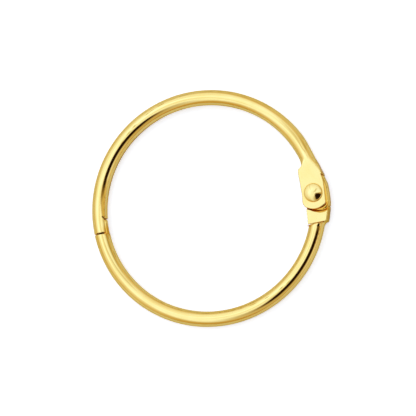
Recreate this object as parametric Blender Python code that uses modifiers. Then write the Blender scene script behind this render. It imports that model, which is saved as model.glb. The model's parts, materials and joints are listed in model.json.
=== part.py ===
"""Hinged loose-leaf ring: two halves rolled from thin steel strip and joined by one rivet.

The ring lies flat. Its axis is +Z and its centre is the origin, at mid-thickness.
The hinge is on the +X side and the snap joint on the -X side.
All lengths are in metres and all angles in degrees.

The hinge is described in a frame of its own at the pivot: v runs outwards from the
ring's centre through the pivot, and u runs along the ring towards the upper half.
"""

import math

import bmesh
import bpy
from mathutils import Vector

# The rolled tube
RING_RADIUS = 0.0216  # from the centre to the middle of the tube
TUBE_RADIUS = 0.0015
WALL = 0.00045
SEAM_EDGE = 0.0002  # height of the strip's edge above the mid-plane, at the seam
TUBE_FLAT = 0.00005  # half-width left flat at the tube's crown, so that no face closes up
CORNER_STEPS = 5
TUBE_STEP = 6.0

# The pivot
PIVOT_RADIUS = 0.02096
PIVOT_ANGLE = 7.2
HOLE_RADIUS = 0.00105

# The upper half's ears
EAR_TOP = 0.0017
EAR_INNER = -0.0023
EAR_BULGE = -0.00252
EAR_OUTER = 0.0022
EAR_END = 0.00315
EAR_EDGE_RADIUS = 0.0232  # the ear's outer edge follows the ring above the pivot
EAR_SHOULDER = 0.0047
NECK_START = 36.0
NECK_END = 0.0052
NECK_OUTER = 0.00175
NECK_TOP = 0.00166
UPPER_WEB_END = 0.0034
BEND_RADIUS = 0.00065
TRIM = 0.00005  # how far a cut stays from a face that it would otherwise share

# The lower half's channel
CHEEK_TOP = 0.0012
CHEEK_INNER = -0.00175
CHANNEL_OUTER = 0.02395  # ring radius of the channel's web beside the ears
CHANNEL_WAIST = 0.0237  # and beside the raised cheeks
SWELL_START = -0.0041
SWELL_END = -0.0026
CHANNEL_END = 0.003
CHANNEL_CORNER = 0.0016
TUBE_END = -0.0064  # from here the tube opens out into the channel, under the raised cheeks
CHANNEL_FULL = -0.0044
PLATE_TOP = 0.0017
PLATE_END = -0.00583
PLATE_CENTRE = (0.00083, -0.00065)  # of the arc that clears the ears, as (v, u)
PLATE_ARC = 0.00337
PLATE_EDGE_RADIUS = 0.0237
SLOT_WIDTH = 0.00022
SLOT_DEPTH = 0.0014

# The snap joint
JOINT_ANGLE = 193.0
JOINT_GAP = 0.0003
WINDOW_LENGTH = 0.0036
WINDOW_HALF_ANGLE = 45.0
WINDOW_SLANT = 1.4
TONGUE_RADIUS = 0.00064
TONGUE_OFFSET = -0.00082
TONGUE_LENGTH = 0.0032
TONGUE_ROOT = 0.0016
NOSE_LENGTH = 0.0009

# The rivet
SHANK_RADIUS = 0.001
HEAD_RADIUS = 0.0018
HEAD_HEIGHT = 0.0007
HEAD_CROWN = 0.0043  # radius of the spherical cap
HEAD_LIP = 0.00016
TAIL_RADIUS = 0.0015
TAIL_HEIGHT = 0.0005
HEAD_CLEARANCE = 0.00005
DOME_STEPS = 8
LIP_STEPS = 4
RIVET_STEPS = 40

PIVOT = Vector((math.cos(math.radians(PIVOT_ANGLE)), math.sin(math.radians(PIVOT_ANGLE)), 0)) * PIVOT_RADIUS


def clear_scene():
    for obj in list(bpy.data.objects):
        bpy.data.objects.remove(obj)


def new_collection(name):
    collection = bpy.data.collections.new(name)
    bpy.context.scene.collection.children.link(collection)
    return collection


def plated_material(name, colour, roughness):
    material = bpy.data.materials.new(name)
    material.use_nodes = True
    shader = material.node_tree.nodes["Principled BSDF"]
    shader.inputs["Base Color"].default_value = (*colour, 1.0)
    shader.inputs["Metallic"].default_value = 1.0
    shader.inputs["Roughness"].default_value = roughness
    return material


def add_object(name, data, collection):
    obj = bpy.data.objects.new(name, data)
    collection.objects.link(obj)
    return obj


def as_cutter(obj):
    obj.hide_render = True
    obj.display_type = "WIRE"
    return obj


def radial(r, angle):
    """The point at this ring radius and angle, on the mid-plane."""
    return Vector((r * math.cos(math.radians(angle)), r * math.sin(math.radians(angle)), 0))


def ring_angle(u, r=RING_RADIUS):
    """The ring angle of the point at this height u that lies at this ring radius."""
    return PIVOT_ANGLE + math.degrees(math.asin(u / r))


def ring_v(u, r):
    """How far outside the pivot the circle of this ring radius is, at this height u."""
    return math.sqrt(r * r - u * u) - PIVOT_RADIUS


def arc(centre, radius, start, end, steps):
    """Points along an arc, both ends included."""
    turn = [math.radians(start + (end - start) * i / steps) for i in range(steps + 1)]
    return [(centre[0] + radius * math.cos(a), centre[1] + radius * math.sin(a)) for a in turn]


# Sections. Each is a list of (v, z) points along the front half of the strip, from its
# edge on the ring's inner side, over the top, to the middle of its outer side.


def closed_section(inner, outer, top, inner_round, outer_round, edge=SEAM_EDGE):
    """A rounded box, as a tube or its flattened neck, open only at the seam."""
    rise = max(0.0, (edge - top + inner_round) / inner_round)
    start = 180 - math.degrees(math.asin(rise))
    inner_corner = (inner + inner_round, top - inner_round)
    outer_corner = (outer - outer_round, top - outer_round)
    first = arc(inner_corner, inner_round, start, 90, CORNER_STEPS)
    if rise == 0.0:
        first[0] = (inner, edge)
    return first + arc(outer_corner, outer_round, 90, 0, CORNER_STEPS) + [(outer, 0.0)]


def tube_section(edge=SEAM_EDGE):
    bend = TUBE_RADIUS - TUBE_FLAT
    return closed_section(-TUBE_RADIUS, TUBE_RADIUS, TUBE_RADIUS, bend, bend, edge)


def mixed(a, b, share):
    """A section between two others."""
    return [(p[0] + (q[0] - p[0]) * share, p[1] + (q[1] - p[1]) * share) for p, q in zip(a, b)]


def eased(share):
    return share * share * (3 - 2 * share)


# Stations. Each is the place of one section along the ring: a centre, the direction in
# which its v runs, and the section.


def ring_station(angle, section):
    return radial(RING_RADIUS, angle), radial(1.0, angle), section


def skewed_station(u, skew, section):
    """A station at height u that is turned from the ring's own radius towards the pivot's."""
    angle = ring_angle(u)
    direction = PIVOT_ANGLE + (angle - PIVOT_ANGLE) * (1 - skew)
    stretch = 1 / math.cos(math.radians(direction - angle))
    wider = [(v * stretch, z) for v, z in section]
    return radial(RING_RADIUS, angle), radial(1.0, direction), wider


def pivot_station(u, section):
    """A station square to the hinge frame, whose section counts v from the pivot."""
    along = Vector((-math.sin(math.radians(PIVOT_ANGLE)), math.cos(math.radians(PIVOT_ANGLE)), 0))
    return PIVOT + along * u, radial(1.0, PIVOT_ANGLE), section


def strip(name, stations, collection):
    """A strip bent through the stations: a lofted sheet, given its thickness inwards."""
    mesh = bpy.data.meshes.new(name)
    bm = bmesh.new()
    rows = []
    for centre, direction, front in stations:
        whole = front + [(v, -z) for v, z in reversed(front[:-1])]
        row = [bm.verts.new(centre + direction * v + Vector((0, 0, z)) - PIVOT) for v, z in whole]
        rows.append(row)
    for row, after in zip(rows, rows[1:]):
        for i in range(len(row) - 1):
            bm.faces.new((row[i], row[i + 1], after[i + 1], after[i]))
    bm.to_mesh(mesh)
    bm.free()
    obj = add_object(name, mesh, collection)
    obj.location = PIVOT
    thickness = obj.modifiers.new("strip thickness", "SOLIDIFY")
    thickness.thickness = WALL
    thickness.offset = -1
    thickness.use_even_offset = True
    return obj


def plate(name, outline, low, high, collection):
    """A flat plate from an outline of (v, u) points, between two heights, as a mesh."""
    curve = bpy.data.curves.new(name + "_outline", "CURVE")
    curve.dimensions = "2D"
    curve.fill_mode = "BOTH"
    curve.extrude = (high - low) / 2
    spline = curve.splines.new("POLY")
    spline.points.add(len(outline) - 1)
    for point, (v, u) in zip(spline.points, outline):
        point.co = (v, u, 0, 1)
    spline.use_cyclic_u = True
    drawn = add_object(name + "_outline", curve, collection)
    drawn.location = PIVOT + Vector((0, 0, (low + high) / 2))
    drawn.rotation_euler.z = math.radians(PIVOT_ANGLE)
    return mesh_of(drawn, name, collection)


def mesh_of(drawn, name, collection):
    """A mesh object in the place of a curve object, with its caps welded on."""
    bpy.context.view_layer.update()
    graph = bpy.context.evaluated_depsgraph_get()
    mesh = bpy.data.meshes.new_from_object(drawn.evaluated_get(graph), depsgraph=graph)
    bm = bmesh.new()
    bm.from_mesh(mesh)
    bmesh.ops.remove_doubles(bm, verts=bm.verts, dist=1e-6)
    bmesh.ops.recalc_face_normals(bm, faces=bm.faces)
    bm.to_mesh(mesh)
    bm.free()
    obj = add_object(name, mesh, collection)
    obj.matrix_world = drawn.matrix_world
    bpy.data.objects.remove(drawn)
    return as_cutter(obj)


def boolean(obj, other, operation):
    modifier = obj.modifiers.new(operation.lower() + " " + other.name, "BOOLEAN")
    modifier.operation = operation
    modifier.object = other


def box(name, v_range, u_range, z_range, collection):
    """A block in the hinge frame."""
    v0, v1 = v_range
    u0, u1 = u_range
    return plate(name, [(v0, u0), (v1, u0), (v1, u1), (v0, u1)], z_range[0], z_range[1], collection)


def hole_cutter(collection):
    mesh = bpy.data.meshes.new("rivet_hole")
    bm = bmesh.new()
    bmesh.ops.create_cone(
        bm, cap_ends=True, segments=RIVET_STEPS, radius1=HOLE_RADIUS, radius2=HOLE_RADIUS, depth=0.01
    )
    bm.to_mesh(mesh)
    bm.free()
    cutter = add_object("rivet_hole", mesh, collection)
    cutter.location = PIVOT
    return as_cutter(cutter)


def ear_outline():
    """The ear from its shoulder to its round end, with its root inside the neck."""
    root = [(0.0002, 0.0078), (-0.0008, 0.0078), (-0.0011, 0.0060)]
    shoulder = arc((EAR_BULGE + 0.0008, EAR_SHOULDER), 0.0008, 90, 180, 3)
    inner_edge = [(EAR_BULGE, 0.0034), (EAR_INNER, 0.0008)]
    corner = math.degrees(math.asin(-EAR_INNER / EAR_END))
    other = math.degrees(math.asin(EAR_OUTER / EAR_END))
    end = arc((0, 0), EAR_END, 270 - corner, 270 + other, 12)
    edge = [(EAR_OUTER, 0.0006)]
    edge += [(ring_v(u, EAR_EDGE_RADIUS), u) for u in (0.0022, 0.0032, 0.0042, 0.0050)]
    return root + shoulder + inner_edge + end + edge


def plate_outline():
    """The raised cheek: square at the tube, and cut to an arc that clears the ear."""
    v0, u0 = PLATE_CENTRE
    inner = CHEEK_INNER - 4 * TRIM
    left = math.degrees(math.acos((inner - v0) / PLATE_ARC))
    right = math.degrees(math.acos((0.00255 - v0) / PLATE_ARC))
    end = arc(PLATE_CENTRE, PLATE_ARC, 360 - left, 360 - right, 12)
    below = PLATE_END - SLOT_WIDTH / 2
    outer = [(ring_v(u, PLATE_EDGE_RADIUS), u) for u in (-0.0038, -0.0046, -0.0053, below)]
    return end + outer + [(inner, below)]


def upper_stations():
    """From the end of the web at the hinge over the top of the ring to the snap joint."""
    window = tube_section(TUBE_RADIUS * math.sin(math.radians(WINDOW_HALF_ANGLE)))
    neck = closed_section(-TUBE_RADIUS, NECK_OUTER, NECK_TOP, BEND_RADIUS, BEND_RADIUS)
    start = JOINT_ANGLE - math.degrees(JOINT_GAP / RING_RADIUS)
    window_end = JOINT_ANGLE - math.degrees(WINDOW_LENGTH / RING_RADIUS)
    stations = [ring_station(a, window) for a in (start, (start + window_end) / 2, window_end)]
    plain_start = window_end - WINDOW_SLANT
    count = round((plain_start - NECK_START) / TUBE_STEP)
    step = (plain_start - NECK_START) / count
    stations += [ring_station(plain_start - step * i, tube_section()) for i in range(count + 1)]
    start_u = RING_RADIUS * math.sin(math.radians(NECK_START - PIVOT_ANGLE))
    for i in range(1, 7):
        share = i / 6
        u = start_u + (NECK_END - start_u) * share
        stations.append(skewed_station(u, eased(share), mixed(tube_section(), neck, eased(share))))
    for u in ((NECK_END + UPPER_WEB_END) / 2, UPPER_WEB_END):
        stations.append(skewed_station(u, 1.0, neck))
    return stations[::-1]


def channel_outer(u):
    """How far out the channel's web is at this height.

    It swells beside the ears and rounds over at its end.
    """
    turn = CHANNEL_END - CHANNEL_CORNER
    if u > turn:
        reach = math.sqrt(max(0.0, CHANNEL_CORNER**2 - (u - turn) ** 2))
        return ring_v(turn, CHANNEL_OUTER) - CHANNEL_CORNER + reach
    swell = eased(min(1.0, max(0.0, (u - SWELL_START) / (SWELL_END - SWELL_START))))
    return ring_v(u, CHANNEL_WAIST + (CHANNEL_OUTER - CHANNEL_WAIST) * swell)


def lower_stations():
    """From the snap joint's shoulder round the bottom to the channel's top end."""
    last = ring_angle(TUBE_END)
    skew_start = -28.0
    count = round((skew_start + 360 - JOINT_ANGLE) / TUBE_STEP)
    step = (skew_start + 360 - JOINT_ANGLE) / count
    stations = [ring_station(JOINT_ANGLE + step * i, tube_section()) for i in range(count + 1)]
    for i in range(1, 5):
        u = RING_RADIUS * math.sin(math.radians(skew_start + (last - skew_start) * i / 4 - PIVOT_ANGLE))
        stations.append(skewed_station(u, i / 4, tube_section()))
    opening = (-0.0058, -0.0051, CHANNEL_FULL)
    beside_ears = (-0.0038, -0.0033, -0.0028, -0.0019, -0.0008, 0.0003)
    stations += [channel_station(u) for u in opening + beside_ears]
    turn = CHANNEL_END - CHANNEL_CORNER
    for i in range(5):
        angle = math.radians(i * 70 / 4)
        stations.append(channel_station(turn + CHANNEL_CORNER * math.sin(angle)))
    return stations


def channel_station(u):
    """The channel, or what lies between the tube and the channel under the raised cheeks."""
    inner = CHEEK_INNER - BEND_RADIUS - 2 * TRIM
    channel = closed_section(inner, channel_outer(u), CHEEK_TOP, BEND_RADIUS, BEND_RADIUS)
    tube = [(v + ring_v(u, RING_RADIUS), z) for v, z in tube_section()]
    share = min(1.0, (u - TUBE_END) / (CHANNEL_FULL - TUBE_END))
    return pivot_station(u, mixed(tube, channel, share))


def upper_half(parts, cutters, hole):
    half = strip("upper_ring_half", upper_stations(), parts)
    inside = EAR_TOP - WALL
    reach = inside - TRIM
    between = box("between_ears", (-0.004, 0.0011), (0.002, NECK_END), (-reach, reach), cutters)
    boolean(half, between, "DIFFERENCE")
    for side, low in (("front", inside), ("rear", -EAR_TOP)):
        boolean(half, plate(side + "_ear", ear_outline(), low, low + WALL, cutters), "UNION")
    boolean(half, hole, "DIFFERENCE")
    return half


def tongue(cutters):
    """The narrow rolled end that enters the socket, lying along the ring's inner side."""
    radius = RING_RADIUS + TONGUE_OFFSET
    curve = bpy.data.curves.new("tongue_path", "CURVE")
    curve.dimensions = "3D"
    curve.bevel_depth = TONGUE_RADIUS
    curve.bevel_resolution = 3
    curve.use_fill_caps = True
    lengths = [TONGUE_ROOT, 0.0, -TONGUE_LENGTH / 2, NOSE_LENGTH - TONGUE_LENGTH, -TONGUE_LENGTH]
    widths = [1.0, 1.0, 1.0, 1.0, 0.55]
    spline = curve.splines.new("POLY")
    spline.points.add(len(lengths) - 1)
    for point, length, width in zip(spline.points, lengths, widths):
        place = radial(radius, JOINT_ANGLE + math.degrees(length / RING_RADIUS))
        point.co = (*place, 1)
        point.radius = width
    drawn = add_object("tongue_path", curve, cutters)
    return mesh_of(drawn, "tongue", cutters)


def lower_half(parts, cutters, hole):
    half = strip("lower_ring_half", lower_stations(), parts)
    reach = CHEEK_TOP - WALL - TRIM
    for side, low, high in (("front", 0.0009, PLATE_TOP), ("rear", -PLATE_TOP, -0.0009)):
        boolean(half, plate(side + "_plate", plate_outline(), low, high, cutters), "UNION")
    whole_height = (PLATE_END - 2 * TRIM, 0.004)
    whole_depth = (-0.003, 0.003)
    slot_height = (PLATE_END - SLOT_WIDTH, PLATE_END)
    mouth = box("channel_mouth", (-0.004, 0.0009), whole_height, (-reach, reach), cutters)
    edge = box("cheek_edge", (-0.004, CHEEK_INNER), whole_height, whole_depth, cutters)
    slot = box("relief_slot", (-0.004, SLOT_DEPTH), slot_height, whole_depth, cutters)
    for cutter in (mouth, edge, slot, hole):
        boolean(half, cutter, "DIFFERENCE")
    boolean(half, tongue(cutters), "UNION")
    return half


def head_profile(base):
    """From the crown of a spherical cap, over a rounded lip, down the head's wall."""
    rim = HEAD_RADIUS - HEAD_LIP
    reach = HEAD_CROWN - HEAD_LIP
    slope = math.degrees(math.asin(rim / reach))
    crown_centre = base + HEAD_HEIGHT - HEAD_CROWN
    lip_centre = crown_centre + math.sqrt(reach * reach - rim * rim)
    crown = arc((0, crown_centre), HEAD_CROWN, 90, 90 - slope, DOME_STEPS)
    lip = arc((rim, lip_centre), HEAD_LIP, 90 - slope, 0, LIP_STEPS)
    return crown + lip[1:] + [(HEAD_RADIUS, base)]


def tail_profile(base):
    """The peened tail, from its rim to its lowest point."""
    points = []
    for i in range(DOME_STEPS, -1, -1):
        angle = math.radians(90 * i / DOME_STEPS)
        drop = TAIL_HEIGHT * math.cos(angle) ** 0.8 if i < DOME_STEPS else 0.0
        points.append((TAIL_RADIUS * math.sin(angle) ** 1.1, base - drop))
    return points


def hinge_rivet(parts):
    """Head, shank and peened tail, turned about the hinge's axis."""
    base = EAR_TOP + HEAD_CLEARANCE
    profile = head_profile(base) + [(SHANK_RADIUS, base), (SHANK_RADIUS, -base)]
    profile += tail_profile(-base)
    mesh = bpy.data.meshes.new("hinge_rivet")
    edges = [(i, i + 1) for i in range(len(profile) - 1)]
    mesh.from_pydata([(r, 0, z) for r, z in profile], edges, [])
    obj = add_object("hinge_rivet", mesh, parts)
    obj.location = PIVOT
    turned = obj.modifiers.new("turned", "SCREW")
    turned.axis = "Z"
    turned.steps = RIVET_STEPS
    turned.render_steps = RIVET_STEPS
    turned.use_merge_vertices = True
    turned.merge_threshold = 0.00001
    return obj


def main():
    clear_scene()
    parts = new_collection("hinged_ring")
    cutters = new_collection("cutters")
    hole = hole_cutter(cutters)
    hinge_axis = add_object("hinge_axis", None, parts)
    hinge_axis.location = PIVOT
    upper = upper_half(parts, cutters, hole)
    lower = lower_half(parts, cutters, hole)
    rivet = hinge_rivet(parts)
    for moving in (upper, rivet):
        moving.parent = hinge_axis
        moving.location = (0, 0, 0)
    gold = (0.93, 0.70, 0.29)
    upper.data.materials.append(plated_material("upper_gold_plate", gold, 0.16))
    lower.data.materials.append(plated_material("lower_gold_plate", gold, 0.14))
    rivet.data.materials.append(plated_material("rivet_gold_plate", (0.90, 0.66, 0.27), 0.2))


main()
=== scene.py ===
"""Looks of the hinged loose-leaf ring: gold-plated strip, studio floor, light and camera.

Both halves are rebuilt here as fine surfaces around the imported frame. Each is described by a
signed distance in millimetres, negative inside the metal, and meshed by a surface net on a
grid that follows the ring. The hinge is described in a frame of its own at the pivot: v runs
outwards from the ring's centre, and u runs along the ring towards the upper half.
"""

import json
import math

import bpy
import numpy as np
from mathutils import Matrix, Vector


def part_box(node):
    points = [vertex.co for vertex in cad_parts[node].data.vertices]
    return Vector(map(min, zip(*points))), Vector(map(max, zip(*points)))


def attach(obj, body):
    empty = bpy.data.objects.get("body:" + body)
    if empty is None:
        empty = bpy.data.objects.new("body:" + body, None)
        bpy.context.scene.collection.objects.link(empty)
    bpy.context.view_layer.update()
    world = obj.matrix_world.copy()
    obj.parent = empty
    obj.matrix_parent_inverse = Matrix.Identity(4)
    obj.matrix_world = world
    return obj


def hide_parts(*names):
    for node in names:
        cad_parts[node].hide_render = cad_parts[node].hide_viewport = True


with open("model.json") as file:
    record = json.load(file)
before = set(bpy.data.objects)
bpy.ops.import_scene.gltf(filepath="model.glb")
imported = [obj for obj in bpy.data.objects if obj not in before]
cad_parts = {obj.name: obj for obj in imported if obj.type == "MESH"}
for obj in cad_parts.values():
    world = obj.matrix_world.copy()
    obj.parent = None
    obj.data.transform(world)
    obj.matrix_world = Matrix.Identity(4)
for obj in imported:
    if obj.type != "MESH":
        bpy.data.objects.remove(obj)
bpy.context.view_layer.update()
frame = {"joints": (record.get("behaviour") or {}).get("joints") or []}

MM = 0.001
DEG = math.pi / 180

JOINT = frame["joints"][0]
PIVOT_X, PIVOT_Y = JOINT["pos_m"][0] / MM, JOINT["pos_m"][1] / MM
PIVOT_R = math.hypot(PIVOT_X, PIVOT_Y)
PIVOT_ANGLE = math.atan2(PIVOT_Y, PIVOT_X)
TUBE = 1.5  # the tube's outer radius
RING = -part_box("upper_ring_half")[0].x / MM - TUBE
WALL = 0.45  # thickness of the strip
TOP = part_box("lower_ring_half")[1].z / MM  # height of the flat faces above mid-thickness
FLOOR = 1.2  # height of the recessed cheeks that the ears lie over
HEAD_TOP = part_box("hinge_rivet")[1].z / MM
TAIL_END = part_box("hinge_rivet")[0].z / MM
SLOT_U = -5.87  # where the relief slot meets v = 0, and how much u it gains for each v
SLOT_SLANT = 0.066
SLOT_HALF = 0.06  # half the slot's width
SEAM = 0.2  # half the width of the tube's open seam
HOLE = 1.05  # radius of the rivet's hole
SHANK = 1.0
EAR_END = 3.15  # radius of the ear's round end, about the pivot
MOUTH_V = -1.72  # the channel's open inner side
BEAD = 0.14  # height of the bead in the corner between the ear's end and the raised cheek
LOWER_REACH = 3.86  # from the pivot to the top of the lower half's web
UPPER_CLEAR = 3.92  # from the pivot to the end of the upper half's web
WINDOW_END = 185.3  # ring angle where the socket's window ends
TONGUE_TIP = 185.6  # ring angle of the tongue's tip, which stops short of the window's end
TONGUE_HEEL = 197.0  # ring angle where the tongue ends inside the lower half
NOTCH = ((184.4, 60.0), (185.7, 40.0))  # ends of the nick beside the window: ring and tube angles
OUTSIDE = 9.0  # a distance safely outside, and its negative safely inside


# Distances and blends


def ramp(x, start, end):
    """0 before start, 1 after end and smooth between, in either direction."""
    share = np.clip((x - start) / (end - start), 0.0, 1.0)
    return share * share * (3 - 2 * share)


def both(a, b, radius):
    """Where both a and b are inside, with the edge between them rounded."""
    corner = np.hypot(np.maximum(a + radius, 0), np.maximum(b + radius, 0))
    return np.minimum(-radius, np.maximum(a, b)) + corner


def either(a, b, radius):
    return -both(-a, -b, radius)


def without(a, b, radius):
    return both(a, -b, radius)


def smooth_outline(points, steps=4):
    """A closed Catmull-Rom curve through the points."""
    count = len(points)
    p = np.array(points, float)
    out = []
    for i in range(count):
        a, b, c, d = (p[(i + k) % count] for k in (-1, 0, 1, 2))
        square = 2 * a - 5 * b + 4 * c - d
        cube = 3 * b - a - 3 * c + d
        for j in range(steps):
            t = j / steps
            out.append(0.5 * (2 * b + (c - a) * t + square * t**2 + cube * t**3))
    return out


def outline_distance(v, u, corners):
    """Signed distance to a closed polygon, negative inside."""
    nearest = np.full(np.broadcast(v, u).shape, 1e9)
    inside = np.zeros(nearest.shape, bool)
    for (v0, u0), (v1, u1) in zip(corners, corners[1:] + corners[:1]):
        ev, eu = v1 - v0, u1 - u0
        share = np.clip(((v - v0) * ev + (u - u0) * eu) / (ev * ev + eu * eu + 1e-12), 0, 1)
        nearest = np.minimum(nearest, (v - v0 - ev * share) ** 2 + (u - u0 - eu * share) ** 2)
        crossed = (u0 <= u) != (u1 <= u)
        at = v0 + (u - u0) * ev / (eu if abs(eu) > 1e-12 else 1e-12)
        inside ^= crossed & (v < at)
    return np.where(inside, -1, 1) * np.sqrt(nearest)


def places(x, y, first):
    """Ring angle in degrees, at least first; offset from the tube's middle circle; and v and u."""
    angle = np.degrees(np.arctan2(y, x))
    angle = np.where(angle < first, angle + 360, angle)
    rho = np.hypot(x, y) - RING
    dx, dy = x - PIVOT_X, y - PIVOT_Y
    cos, sin = math.cos(PIVOT_ANGLE), math.sin(PIVOT_ANGLE)
    return angle, rho, dx * cos + dy * sin, dy * cos - dx * sin


def form(rho, high, top, inner, outer, inner_round, outer_round):
    """The outside of the formed strip: a box whose four long edges are rounded."""
    face = high - top
    return np.maximum(both(face, inner - rho, inner_round), both(face, rho - outer, outer_round))


def shell(outside):
    return np.maximum(outside, -outside - WALL)


# The two halves


def ear_edge():
    left = [(-1.2, 5.92), (-1.5, 5.84), (-1.72, 5.6), (-1.96, 5.25), (-2.28, 5.0), (-2.45, 4.7)]
    left += [(-2.5, 4.2), (-2.5, 3.6), (-2.42, 2.8), (-2.34, 1.6), (-2.27, 0.4), (-2.27, -0.8)]
    left += [(-2.3, -1.7)]
    end = []
    for turn in range(-128, -46, 9):
        end.append((EAR_END * math.cos(turn * DEG), EAR_END * math.sin(turn * DEG)))
    right = [(2.2, -1.5), (2.21, -0.4), (2.21, 0.8), (2.17, 2.0), (2.02, 3.0), (1.8, 3.7)]
    right += [(1.5, 4.4), (1.16, 5.0), (0.78, 5.6), (0.5, 5.92)]
    return smooth_outline(left + end + right)


EAR_EDGE = ear_edge()


def ears(v, u, high):
    sheet = np.maximum(high - TOP, TOP - WALL - high)
    return both(outline_distance(v, u, EAR_EDGE), sheet, 0.16)


def joint_end(rho):
    """Ring angle of the snap joint's shoulder, which is cut a little askew."""
    return 193.45 - 0.22 * rho


def upper_field(x, y, z):
    angle, rho, v, u = places(x, y, -90)
    high = np.abs(z)
    top = TUBE + (TOP - TUBE) * ramp(angle, 31, 23.5)
    waist = 0.14 * ramp(angle, 38, 28) * ramp(angle, 21.5, 25.5)
    outer = TUBE - waist + 0.08 * ramp(angle, 22.3, 20.6) + 0.25 * ramp(angle, 20.6, 15.0)
    inner_round = TUBE - 1.2 * ramp(angle, 27.5, 23)
    outer_round = TUBE - 1.15 * ramp(angle, 26.5, 17.5)
    metal = shell(form(rho, high, top, -TUBE, outer, inner_round, outer_round))
    metal = without(metal, np.maximum(high - SEAM, rho + 0.5), 0.07)
    along = RING * DEG

    # The hinge end: the web stops above the lower half's, and the ears run on
    near = angle < 60
    web_end = np.maximum(UPPER_CLEAR - np.hypot(v, u), 2.6 - u)
    web_end = np.where(near, web_end, -OUTSIDE)
    metal = both(metal, web_end, 0.07)
    below_ears = np.where(near, u - 5.45, OUTSIDE)
    between = np.maximum(np.maximum(high - TOP + WALL, rho - 0.3), below_ears)
    metal = without(metal, between, 0.06)
    metal = np.minimum(metal, np.where(near, ears(v, u, high), OUTSIDE))
    metal = without(metal, np.where(near, np.hypot(v, u) - HOLE, OUTSIDE), 0.05)

    # The snap end: an open socket with a window on the ring's inner side
    gap = 0.17 + 0.12 * ramp(rho, 1.2, 0.5)
    metal = both(metal, (angle - joint_end(rho)) * along + gap, 0.09)
    window = np.maximum((high + rho) * 0.7071, (WINDOW_END - angle) * along)
    metal = without(metal, np.maximum(window, rho), 0.08)
    around = np.arctan2(high, -rho) / DEG
    start, stop = NOTCH
    a = (angle - start[0]) * along
    b = (around - start[1]) * DEG * TUBE
    ea = (stop[0] - start[0]) * along
    eb = (stop[1] - start[1]) * DEG * TUBE
    share = np.clip((a * ea + b * eb) / (ea * ea + eb * eb), 0, 1)
    notch = np.hypot(a - ea * share, b - eb * share) - 0.1
    return without(metal, notch, 0.05)


# The step between the recessed and the raised cheek: its foot's and its top's distances from the
# pivot, by direction in the hinge's frame
JOGGLE_TURN = (-180.0, -125.0, -107.0, -87.0, -77.0, -64.0, -53.0, -40.0, -20.0, 0.0)
JOGGLE_LOW = (3.2, 3.2, 3.2, 3.3, 3.46, 3.74, 3.88, 3.7, 3.6, 3.6)
JOGGLE_HIGH = (3.42, 3.42, 3.44, 3.87, 4.22, 4.44, 4.37, 4.2, 4.2, 4.2)


def web_reach(u):
    """How far the channel's web stands outside the tube's outer side."""
    bulge = 0.53 * ramp(u, -6.55, -5.45) + 0.07 * ramp(u, -5.4, -4.0)
    return bulge + 0.25 * ramp(u, -4.0, -2.6) - 0.12 * ramp(u, -1.8, 1.6) - 0.4 * ramp(u, 1.2, 3.6)


def cheek_height(v, u):
    """Height of the cheek's outer face: raised by the tube, and stepped down where the ear lies."""
    turn = np.degrees(np.arctan2(u, v))
    turn = np.where(turn > 0, 0.0, turn)
    low = np.interp(turn, JOGGLE_TURN, JOGGLE_LOW)
    high = np.interp(turn, JOGGLE_TURN, JOGGLE_HIGH)
    share = np.clip((np.hypot(v, u) - low) / (high - low), 0.0, 1.0) ** 0.8
    raised = np.where((u > -1.0) | (v < -4), 0.0, share)
    across = np.clip((np.hypot(v, u) - 3.1) / (low - 3.1 + 0.05), 0.0, 1.0)
    bead = BEAD * np.sin(math.pi * across) * np.clip((low - 3.3) / 0.4, 0.0, 1.0)
    return FLOOR + (TOP - FLOOR) * raised + np.where(turn < -30, bead, 0.0)


def lower_field(x, y, z):
    angle, rho, v, u = places(x, y, 90)
    high = np.abs(z)
    near = angle > 320
    past_slot = u - SLOT_SLANT * v - SLOT_U
    boxed = np.where(near, ramp(past_slot, -0.2, 0.15), 0.0)
    top = TUBE + (cheek_height(v, u) - TUBE) * boxed
    outer = TUBE + np.where(near, web_reach(u), 0.0)
    inner = -TUBE - 2.5 * boxed
    inner_round = TUBE - 1.2 * boxed
    raised = ramp(u, -2.9, -3.9)
    outer_round = TUBE - (0.7 + 0.62 * raised) * boxed
    metal = shell(form(rho, high, top, inner, outer, inner_round, outer_round))
    seam = np.maximum(high - SEAM, rho + 0.5)
    metal = without(metal, seam, 0.07)
    along = RING * DEG

    # The channel: open on the inner side, rounded at its top end, slotted where it meets the tube
    mouth = np.where(near & (past_slot > 0), MOUTH_V - v, -OUTSIDE)
    web_corner = np.maximum(both(u - 3.4, rho - outer, 0.12), np.hypot(v, u) - LOWER_REACH)
    end = np.where(near, both(web_corner, MOUTH_V - v, 1.0), -OUTSIDE)
    metal = both(metal, np.where(u > -3, np.maximum(mouth, end), mouth), 0.07)
    slot = np.where(near, np.maximum(np.abs(past_slot) - SLOT_HALF, v - 1.4), OUTSIDE)
    metal = without(metal, slot, 0.06)
    metal = without(metal, np.where(near, np.hypot(v, u) - HOLE, OUTSIDE), 0.05)

    # The snap end: a shoulder, and a narrow rolled tongue along the ring's inner side
    metal = both(metal, (joint_end(rho) - angle) * along, 0.1)
    slim = 0.64 - 0.12 * ramp(angle, 187.5, 184.5)
    tongue = np.hypot(rho + 0.82, z) - slim
    tongue = without(tongue, np.hypot(rho + 1.5, z) - 0.12, 0.05)
    tongue = both(tongue, (TONGUE_TIP - angle) * along, 0.25)
    tongue = both(tongue, (angle - TONGUE_HEEL) * along, 0.1)
    return either(metal, tongue, 0.12)


# Surface net


def axis(*stops):
    """Grid positions from the first stop to the last; a stop is a position and its spacing."""
    at, spacing = zip(*stops)
    points = [at[0]]
    while points[-1] < at[-1]:
        points.append(points[-1] + float(np.interp(points[-1], at, spacing)))
    return np.array(points)


def corner_slices(shape, offset):
    return tuple(slice(o, n - 1 + o) for o, n in zip(offset, shape))


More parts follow.
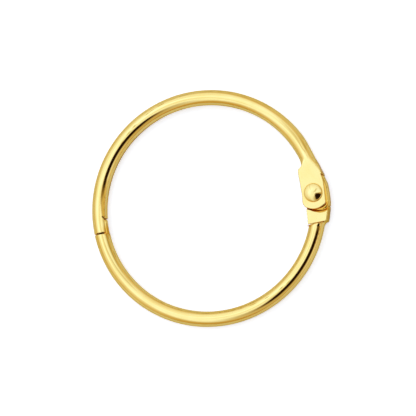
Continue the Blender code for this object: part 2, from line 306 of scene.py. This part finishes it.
def surface_net(values, axes):
    """Vertices, in the axes' own units, and quads of the surface where values change sign."""
    solid = values < 0
    corners = [(i, j, k) for i in (0, 1) for j in (0, 1) for k in (0, 1)]
    count = sum(solid[corner_slices(solid.shape, c)].astype(np.int8) for c in corners)
    cells = np.argwhere((count > 0) & (count < 8))
    number = np.full(count.shape, -1, np.int64)
    number[tuple(cells.T)] = np.arange(len(cells))
    total = np.zeros((len(cells), 3))
    hits = np.zeros(len(cells))
    for direction in range(3):
        sides = [d for d in range(3) if d != direction]
        for a in (0, 1):
            for b in (0, 1):
                low = cells.copy()
                low[:, sides[0]] += a
                low[:, sides[1]] += b
                high = low.copy()
                high[:, direction] += 1
                f0, f1 = values[tuple(low.T)], values[tuple(high.T)]
                crossed = (f0 < 0) != (f1 < 0)
                share = np.where(crossed, f0 / np.where(crossed, f0 - f1, 1), 0)
                point = low.astype(float)
                point[:, direction] += share
                total += point * crossed[:, None]
                hits += crossed
    index = total / hits[:, None]
    columns = [np.interp(index[:, d], np.arange(len(axes[d])), axes[d]) for d in range(3)]
    points = np.stack(columns, axis=1)
    quads = []
    for direction in range(3):
        lead, side = [d for d in range(3) if d != direction]
        ends = np.moveaxis(solid, (direction, lead, side), (0, 1, 2))
        number_turned = np.moveaxis(number, (direction, lead, side), (0, 1, 2))
        change = ends[1:, 1:-1, 1:-1].astype(np.int8) - ends[:-1, 1:-1, 1:-1]
        i, j, k = np.nonzero(change)
        around = ((0, 0), (1, 0), (1, 1), (0, 1))
        four = np.stack([number_turned[i, j + a, k + b] for a, b in around], axis=1)
        turned = (change[i, j, k] > 0) != (direction == 1)
        four[turned] = four[turned][:, ::-1]
        quads.append(four)
    return points, np.concatenate(quads)


def gradient(field, at, step=0.004):
    slopes = []
    for d in range(3):
        ahead, behind = at.copy(), at.copy()
        ahead[:, d] += step
        behind[:, d] -= step
        slopes.append((field(*ahead.T) - field(*behind.T)) / (2 * step))
    return np.stack(slopes, axis=1)


def formed_strip(name, field, angles, rhos, highs):
    """A mesh object of the surface where field is zero, on a grid that follows the ring."""
    turn = angles[:, None, None] * DEG
    radius = RING + rhos[None, :, None]
    values = field(radius * np.cos(turn), radius * np.sin(turn), highs[None, None, :])
    net, quads = surface_net(values, (angles, rhos, highs))
    radius = RING + net[:, 1]
    turn = net[:, 0] * DEG
    points = np.stack([radius * np.cos(turn), radius * np.sin(turn), net[:, 2]], axis=1)
    for _ in range(4):
        slope = gradient(field, points)
        length = np.maximum((slope**2).sum(axis=1), 0.25)
        move = -slope * (field(*points.T) / length)[:, None]
        size = np.maximum(np.linalg.norm(move, axis=1), 1e-9)
        points += move * np.minimum(1.0, 0.03 / size)[:, None]
    mesh = bpy.data.meshes.new(name)
    mesh.from_pydata((points * MM).tolist(), [], quads.tolist())
    mesh.shade_smooth()
    mesh.update()
    obj = bpy.data.objects.new(name, mesh)
    bpy.context.scene.collection.objects.link(obj)
    return obj


HIGHS = axis((-1.85, 0.055), (-1.0, 0.06), (-0.8, 0.1), (0.8, 0.1), (1.0, 0.06), (1.85, 0.055))
RHOS = axis((-3.35, 0.08), (-1.8, 0.08), (2.6, 0.08))


def upper_half():
    angles = axis((-3.4, 0.2), (24, 0.22), (44, 1.5), (170, 1.5), (181, 0.16), (193.6, 0.14))
    return formed_strip("upper_half_strip", upper_field, angles, RHOS, HIGHS)


def lower_half():
    angles = axis((183.0, 0.16), (198, 0.16), (206, 1.5), (332, 1.5), (341, 0.22), (376.5, 0.2))
    return formed_strip("lower_half_strip", lower_field, angles, RHOS, HIGHS)


def rivet():
    """Domed head, shank and peened tail, as one profile turned about the hinge's axis."""
    head_base, tail_base = TOP + 0.03, -TOP - 0.05
    steps = 30
    radius, crown, lip = 1.79, 3.5, 0.3
    rim, reach = radius - lip, crown - lip
    slope = math.asin(rim / reach)
    lip_height = HEAD_TOP - crown + reach * math.cos(slope)
    profile = []
    for i in range(steps + 1):
        turn = slope * i / steps
        profile.append((crown * math.sin(turn), HEAD_TOP - crown + crown * math.cos(turn)))
    for i in range(1, 11):
        turn = slope + (math.pi / 2 - slope) * i / 10
        profile.append((rim + lip * math.sin(turn), lip_height + lip * math.cos(turn)))
    profile += [(radius - 0.03, head_base), (SHANK, head_base), (SHANK, tail_base)]
    for i in range(steps, -1, -1):
        turn = math.pi / 2 * i / steps
        drop = (tail_base - TAIL_END) * math.cos(turn) ** 0.6
        profile.append((1.5 * math.sin(turn) ** 1.1, tail_base - drop))
    mesh = bpy.data.meshes.new("hinge_rivet_turned")
    points = [(max(r, 0.0) * MM, 0, z * MM) for r, z in profile]
    mesh.from_pydata(points, [(i, i + 1) for i in range(len(points) - 1)], [])
    obj = bpy.data.objects.new("hinge_rivet_turned", mesh)
    bpy.context.scene.collection.objects.link(obj)
    obj.location = Vector(JOINT["pos_m"])
    turned = obj.modifiers.new("turned", "SCREW")
    turned.axis = "Z"
    turned.steps = 96
    turned.render_steps = 96
    turned.use_merge_vertices = True
    turned.merge_threshold = 0.000002
    turned.use_smooth_shade = True
    return obj


# Materials


def math_node(nodes, links, operation, *values):
    node = nodes.new("ShaderNodeMath")
    node.operation = operation
    for socket, value in zip(node.inputs, values):
        if isinstance(value, (int, float)):
            socket.default_value = value
        else:
            links.new(value, socket)
    return node.outputs["Value"]


def times(nodes, links, a, b):
    return math_node(nodes, links, "MULTIPLY", a, b)


def distance_from(nodes, links, place, point):
    """Distance in metres from a point of the object."""
    node = nodes.new("ShaderNodeVectorMath")
    node.operation = "DISTANCE"
    node.inputs[1].default_value = point
    links.new(place.outputs["Object"], node.inputs[0])
    return node.outputs["Value"]


def drawing_lines(nodes, links, place):
    """Height of the faint ridges that rolling leaves along the strip, which follow the ring."""
    split = nodes.new("ShaderNodeSeparateXYZ")
    links.new(place.outputs["Object"], split.inputs["Vector"])
    x, y, z = (split.outputs[name] for name in "XYZ")
    squares = [times(nodes, links, a, a) for a in (x, y)]
    radius = math_node(nodes, links, "SQRT", math_node(nodes, links, "ADD", *squares))
    rho = math_node(nodes, links, "SUBTRACT", radius, RING * MM)
    around = math_node(nodes, links, "ARCTAN2", z, rho)
    join = nodes.new("ShaderNodeCombineXYZ")
    for socket, value, scale in zip(join.inputs, (around, x, y), (1.0, 12.0, 12.0)):
        links.new(times(nodes, links, value, scale), socket)
    ridges = nodes.new("ShaderNodeTexNoise")
    ridges.inputs["Scale"].default_value = 5.0
    ridges.inputs["Detail"].default_value = 2.0
    links.new(join.outputs["Vector"], ridges.inputs["Vector"])
    return ridges.outputs["Fac"]


def span(nodes, links, value, start, end):
    """0 where the value is at start, 1 where it is at end, and smooth between."""
    share = nodes.new("ShaderNodeMapRange")
    share.interpolation_type = "SMOOTHSTEP"
    share.inputs["From Min"].default_value = start
    share.inputs["From Max"].default_value = end
    links.new(value, share.inputs["Value"])
    return share.outputs["Result"]


def blended(nodes, links, factor, a, b):
    """The colour between a and b. Either is a socket or a plain colour."""
    blend = nodes.new("ShaderNodeMix")
    blend.data_type = "RGBA"
    links.new(factor, blend.inputs["Factor"])
    for name, value in (("A", a), ("B", b)):
        socket = [i for i in blend.inputs if i.name == name and i.type == "RGBA"][0]
        if isinstance(value, tuple):
            socket.default_value = (*value, 1)
        else:
            links.new(value, socket)
    return [o for o in blend.outputs if o.type == "RGBA"][0]


RIDGE_SHADE_GOLD = (0.90, 0.55, 0.10)  # painted shade along the lines that rolling leaves
EDGE_SHADE_GOLD = (0.72, 0.42, 0.07)  # painted shade on sharp edges and in creases
CORNER_GOLD = (0.86, 0.46, 0.05)  # in corners, where light bounces between gold and gold
STEP_SHADE_GOLD = (0.80, 0.42, 0.045)  # painted shade and reflection beside the ears and the tongue, below the flat faces
# The point the painted shade on the tongue's root centres on
TONGUE_ROOT = (192.1, -1.15, 0.45)  # ring angle, offset from the tube's middle circle, and height


def beside_ears(nodes, links, place, far):
    """1 on what lies just below the flat faces around the hinge, where shade is painted."""
    split = nodes.new("ShaderNodeSeparateXYZ")
    links.new(place.outputs["Object"], split.inputs["Vector"])
    high = math_node(nodes, links, "ABSOLUTE", split.outputs["Z"])
    below = span(nodes, links, high, (TOP - 0.02) * MM, (TOP - 0.1) * MM)
    above = span(nodes, links, high, (FLOOR - 0.15) * MM, (FLOOR - 0.05) * MM)
    close = span(nodes, links, far, 0.0049, 0.0046)
    return times(nodes, links, times(nodes, links, below, above), close)


def at_tongue(nodes, links, place):
    """1 on the root of the tongue, where shade is painted."""
    angle, rho, high = TONGUE_ROOT
    radius = RING + rho
    root = Vector((radius * math.cos(angle * DEG), radius * math.sin(angle * DEG), high)) * MM
    return span(nodes, links, distance_from(nodes, links, place, root), 0.0016, 0.0005)


def gold(name, base, deep, roughness, scratch_scale, bump, line_height):
    """Polished gold plating: faint cloudiness, fine scratches, rolled ridges, and painted shade on
    ridges, edges, corners and steps.
    """
    material = bpy.data.materials.new(name)
    material.use_nodes = True
    nodes, links = material.node_tree.nodes, material.node_tree.links
    shader = nodes["Principled BSDF"]
    shader.inputs["Metallic"].default_value = 1.0
    shader.inputs["Specular Tint"].default_value = (1.0, 0.74, 0.27, 1)
    place = nodes.new("ShaderNodeTexCoord")

    cloud = nodes.new("ShaderNodeTexNoise")
    cloud.inputs["Scale"].default_value = 420.0
    cloud.inputs["Detail"].default_value = 4.0
    links.new(place.outputs["Object"], cloud.inputs["Vector"])

    tint = nodes.new("ShaderNodeValToRGB")
    tint.color_ramp.elements[0].position = 0.3
    tint.color_ramp.elements[0].color = (*deep, 1)
    tint.color_ramp.elements[1].position = 0.62
    tint.color_ramp.elements[1].color = (*base, 1)
    links.new(cloud.outputs["Fac"], tint.inputs["Fac"])
    lines = drawing_lines(nodes, links, place)
    far = distance_from(nodes, links, place, JOINT["pos_m"])
    # Painted shade: darker gold along the ridges, kept off the hinge's flat faces
    off_hinge = span(nodes, links, far, 0.005, 0.009)
    line = span(nodes, links, lines, 0.5, 0.62)
    line = times(nodes, links, times(nodes, links, line, off_hinge), 0.6)
    colour = blended(nodes, links, line, tint.outputs["Color"], RIDGE_SHADE_GOLD)
    # Painted shade: darker gold where the surface bends sharply, outwards or inwards
    bend = nodes.new("ShaderNodeNewGeometry")
    sharp = math_node(nodes, links, "SUBTRACT", bend.outputs["Pointiness"], 0.5)
    edge = span(nodes, links, math_node(nodes, links, "ABSOLUTE", sharp), 0.03, 0.16)
    colour = blended(nodes, links, edge, colour, EDGE_SHADE_GOLD)
    hidden = nodes.new("ShaderNodeAmbientOcclusion")
    hidden.samples = 8
    hidden.inputs["Distance"].default_value = 0.0009
    corner = span(nodes, links, hidden.outputs["AO"], 0.92, 0.4)
    colour = blended(nodes, links, corner, colour, CORNER_GOLD)
    # Painted shade and gold-on-gold reflection beside the ears and on the tongue's root
    ears_step = beside_ears(nodes, links, place, far)
    tongue_root = at_tongue(nodes, links, place)
    beside = math_node(nodes, links, "MAXIMUM", ears_step, tongue_root)
    colour = blended(nodes, links, beside, colour, STEP_SHADE_GOLD)
    links.new(colour, shader.inputs["Base Color"])

    scratch = nodes.new("ShaderNodeTexNoise")
    scratch.inputs["Scale"].default_value = scratch_scale
    scratch.inputs["Detail"].default_value = 6.0
    scratch.inputs["Roughness"].default_value = 0.7
    links.new(place.outputs["Object"], scratch.inputs["Vector"])

    haze = nodes.new("ShaderNodeMapRange")
    haze.inputs["From Min"].default_value = 0.35
    haze.inputs["From Max"].default_value = 0.7
    haze.inputs["To Min"].default_value = roughness * 0.8
    haze.inputs["To Max"].default_value = roughness * 1.45
    links.new(scratch.outputs["Fac"], haze.inputs["Value"])
    links.new(haze.outputs["Result"], shader.inputs["Roughness"])

    wave = nodes.new("ShaderNodeTexNoise")
    wave.inputs["Scale"].default_value = 900.0
    wave.inputs["Detail"].default_value = 2.0
    links.new(place.outputs["Object"], wave.inputs["Vector"])
    relief = nodes.new("ShaderNodeBump")
    relief.inputs["Strength"].default_value = bump
    relief.inputs["Distance"].default_value = 0.00002
    links.new(wave.outputs["Fac"], relief.inputs["Height"])
    ridges = nodes.new("ShaderNodeBump")
    ridges.inputs["Strength"].default_value = 1.0
    ridges.inputs["Distance"].default_value = line_height
    links.new(lines, ridges.inputs["Height"])
    links.new(relief.outputs["Normal"], ridges.inputs["Normal"])
    links.new(ridges.outputs["Normal"], shader.inputs["Normal"])
    return material


# Stage


TILT = 12.3 * DEG  # of the camera away from the ring's axis
TILT_TOWARDS = -28.0 * DEG
VIEW_WIDTH = 0.08066
VIEW_DISTANCE = 0.75
FLOOR_GLOW = 0.55  # extra light from the floor, which only the camera sees
# Of the ring's centre from the picture's, as shares of the picture's width
CENTRE_OFFSET = (0.64 / 416, -0.15 / 416)


def camera():
    across, along = math.cos(TILT_TOWARDS), math.sin(TILT_TOWARDS)
    away = Vector((math.sin(TILT) * across, math.sin(TILT) * along, math.cos(TILT)))
    turn = Vector((0, 0, 1)).rotation_difference(away)
    data = bpy.data.cameras.new("camera")
    data.sensor_width = 36
    data.lens = 36 * VIEW_DISTANCE / VIEW_WIDTH
    data.clip_start = 0.01
    data.clip_end = 10
    obj = bpy.data.objects.new("camera", data)
    bpy.context.scene.collection.objects.link(obj)
    right, up = turn @ Vector((1, 0, 0)), turn @ Vector((0, 1, 0))
    target = -right * CENTRE_OFFSET[0] * VIEW_WIDTH - up * CENTRE_OFFSET[1] * VIEW_WIDTH
    obj.location = target + away * VIEW_DISTANCE
    obj.rotation_mode = "QUATERNION"
    obj.rotation_quaternion = turn
    bpy.context.scene.camera = obj


def floor():
    """A pale floor that touches the rivet's tail and the far side of the ring."""
    mesh = bpy.data.meshes.new("floor")
    half = 1.5
    steps = 6
    line = [half * (2 * i / steps - 1) for i in range(steps + 1)]
    points = [(x, y, 0) for y in line for x in line]
    across = steps + 1
    faces = []
    for j in range(steps):
        for i in range(steps):
            first = j * across + i
            faces.append((first, first + 1, first + across + 1, first + across))
    mesh.from_pydata(points, [], faces)
    obj = bpy.data.objects.new("floor", mesh)
    bpy.context.scene.collection.objects.link(obj)
    drop = (TAIL_END + TUBE) * MM
    reach = (PIVOT_X + RING) * MM
    slope = math.atan2(drop, reach)
    obj.rotation_euler.y = -slope
    obj.location.z = -TUBE * MM + drop * RING * MM / reach - 0.00002
    material = bpy.data.materials.new("floor_white")
    material.use_nodes = True
    nodes, links = material.node_tree.nodes, material.node_tree.links
    shader = nodes["Principled BSDF"]
    shader.inputs["Base Color"].default_value = (0.78, 0.84, 0.96, 1)
    shader.inputs["Roughness"].default_value = 0.7
    shader.inputs["Specular IOR Level"].default_value = 0.2
    shader.inputs["Emission Color"].default_value = (1, 1, 1, 1)
    ray = nodes.new("ShaderNodeLightPath")
    glow = times(nodes, links, ray.outputs["Is Camera Ray"], FLOOR_GLOW)
    links.new(glow, shader.inputs["Emission Strength"])
    mesh.materials.append(material)


def heading(tilt, towards):
    """The direction this far from straight up, in degrees, leaning towards this ring angle."""
    t, a = tilt * DEG, towards * DEG
    return Vector((math.sin(t) * math.cos(a), math.sin(t) * math.sin(a), math.cos(t)))


# Round patches of the studio as the metal sees it: tilt and heading of the middle, where the
# edge starts and ends, all in degrees, and the light there
PATCHES = [
    (22, 133, 1, 68, (1.03, 1.27, 2.0)),
    (12, 156, 8, 34, (1.26, 1.60, 2.9)),
    (84, -82, 7, 64, (0.56, 0.42, 0.19)),
    (60, 24, 1, 27, (0.46, 0.38, 0.17)),
    (20, -35, 25, 58, (1.02, 1.25, 1.95)),
    (41, -53, 8, 36, (0.50, 0.42, 0.26)),
]
# Flat panels: their corners, as degrees from straight overhead towards +X and +Y, the width of
# their soft edge, and the light there. The last is the camera with its hood, which is black.
PANELS = [
    ([(4, -3), (50, -12), (78, -4), (78, 22), (40, 10), (12, 3)], 3.0, (0.64, 0.54, 0.31)),
    ([(-17, -12), (-8, -3), (-2, -24), (-12, -27)], 3.0, (0.74, 0.80, 0.95)),
    ([(-4, 7), (9, 11), (20, 33), (10, 31)], 3.0, (0.76, 0.80, 0.90)),
    ([(2, -14), (10, -40), (26, -43), (46, -26), (58, -3), (24, 4), (6, -1)], 2.5,
     (0.30, 0.21, 0.10)),
    ([(5, -17), (12, -37), (24, -39), (40, -23), (51, -6), (24, 0), (10, -4)], 2.0,
     (0.012, 0.004, 0.001)),
]
ROOM = (0.72, 0.65, 0.52)


def facing(nodes, links, direction, start, end):
    """How nearly a ray runs along the direction: 0 where their dot product is start, 1 at end."""
    place = nodes.new("ShaderNodeTexCoord")
    product = nodes.new("ShaderNodeVectorMath")
    product.operation = "DOT_PRODUCT"
    product.inputs[1].default_value = direction
    links.new(place.outputs["Generated"], product.inputs[0])
    return span(nodes, links, product.outputs["Value"], start, end)


def panel_mask(nodes, links, corners, soft):
    """1 inside the panel: the product of one soft half-space for each of its sides."""
    ends = [heading(math.hypot(x, y), math.atan2(y, x) / DEG) for x, y in corners]
    half = math.sin(soft * DEG)
    mask = None
    for a, b in zip(ends, ends[1:] + ends[:1]):
        side = facing(nodes, links, a.cross(b).normalized(), -half, half)
        mask = side if mask is None else times(nodes, links, mask, side)
    return mask


def studio():
    """A bright overhead softbox in a dimmer room, with the dark camera in front of it.

    Only the metal sees its colours; everything else is lit by the same pattern in grey.
    """
    world = bpy.data.worlds.new("studio")
    bpy.context.scene.world = world
    world.use_nodes = True
    nodes, links = world.node_tree.nodes, world.node_tree.links
    background = nodes["Background"]
    seen = ROOM
    for tilt, towards, inner, outer, light in PATCHES:
        start, end = math.cos(outer * DEG), math.cos(inner * DEG)
        mask = facing(nodes, links, heading(tilt, towards), start, end)
        seen = blended(nodes, links, mask, seen, light)
    for corners, soft, light in PANELS:
        seen = blended(nodes, links, panel_mask(nodes, links, corners, soft), seen, light)
    grey = nodes.new("ShaderNodeRGBToBW")
    links.new(seen, grey.inputs["Color"])
    ray = nodes.new("ShaderNodeLightPath")
    shown = blended(nodes, links, ray.outputs["Is Glossy Ray"], grey.outputs["Val"], seen)
    links.new(shown, background.inputs["Color"])
    background.inputs["Strength"].default_value = 1.0


def dress(piece, node, body, material):
    piece.data.materials.append(material)
    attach(piece, body)
    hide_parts(node)


dress(upper_half(), "upper_ring_half", "upper_half",
      gold("upper_gold", (1.0, 0.725, 0.21), (0.97, 0.69, 0.18), 0.08, 2600.0, 0.08, 0.000012))
dress(lower_half(), "lower_ring_half", "lower_half",
      gold("lower_gold", (1.0, 0.725, 0.21), (0.97, 0.69, 0.18), 0.075, 2600.0, 0.08, 0.000012))
dress(rivet(), "hinge_rivet", "upper_half",
      gold("rivet_gold", (1.0, 0.73, 0.22), (0.95, 0.67, 0.18), 0.1, 3200.0, 0.75, 0.0))
camera()
floor()
studio()
bpy.context.scene.view_settings.view_transform = "Standard"
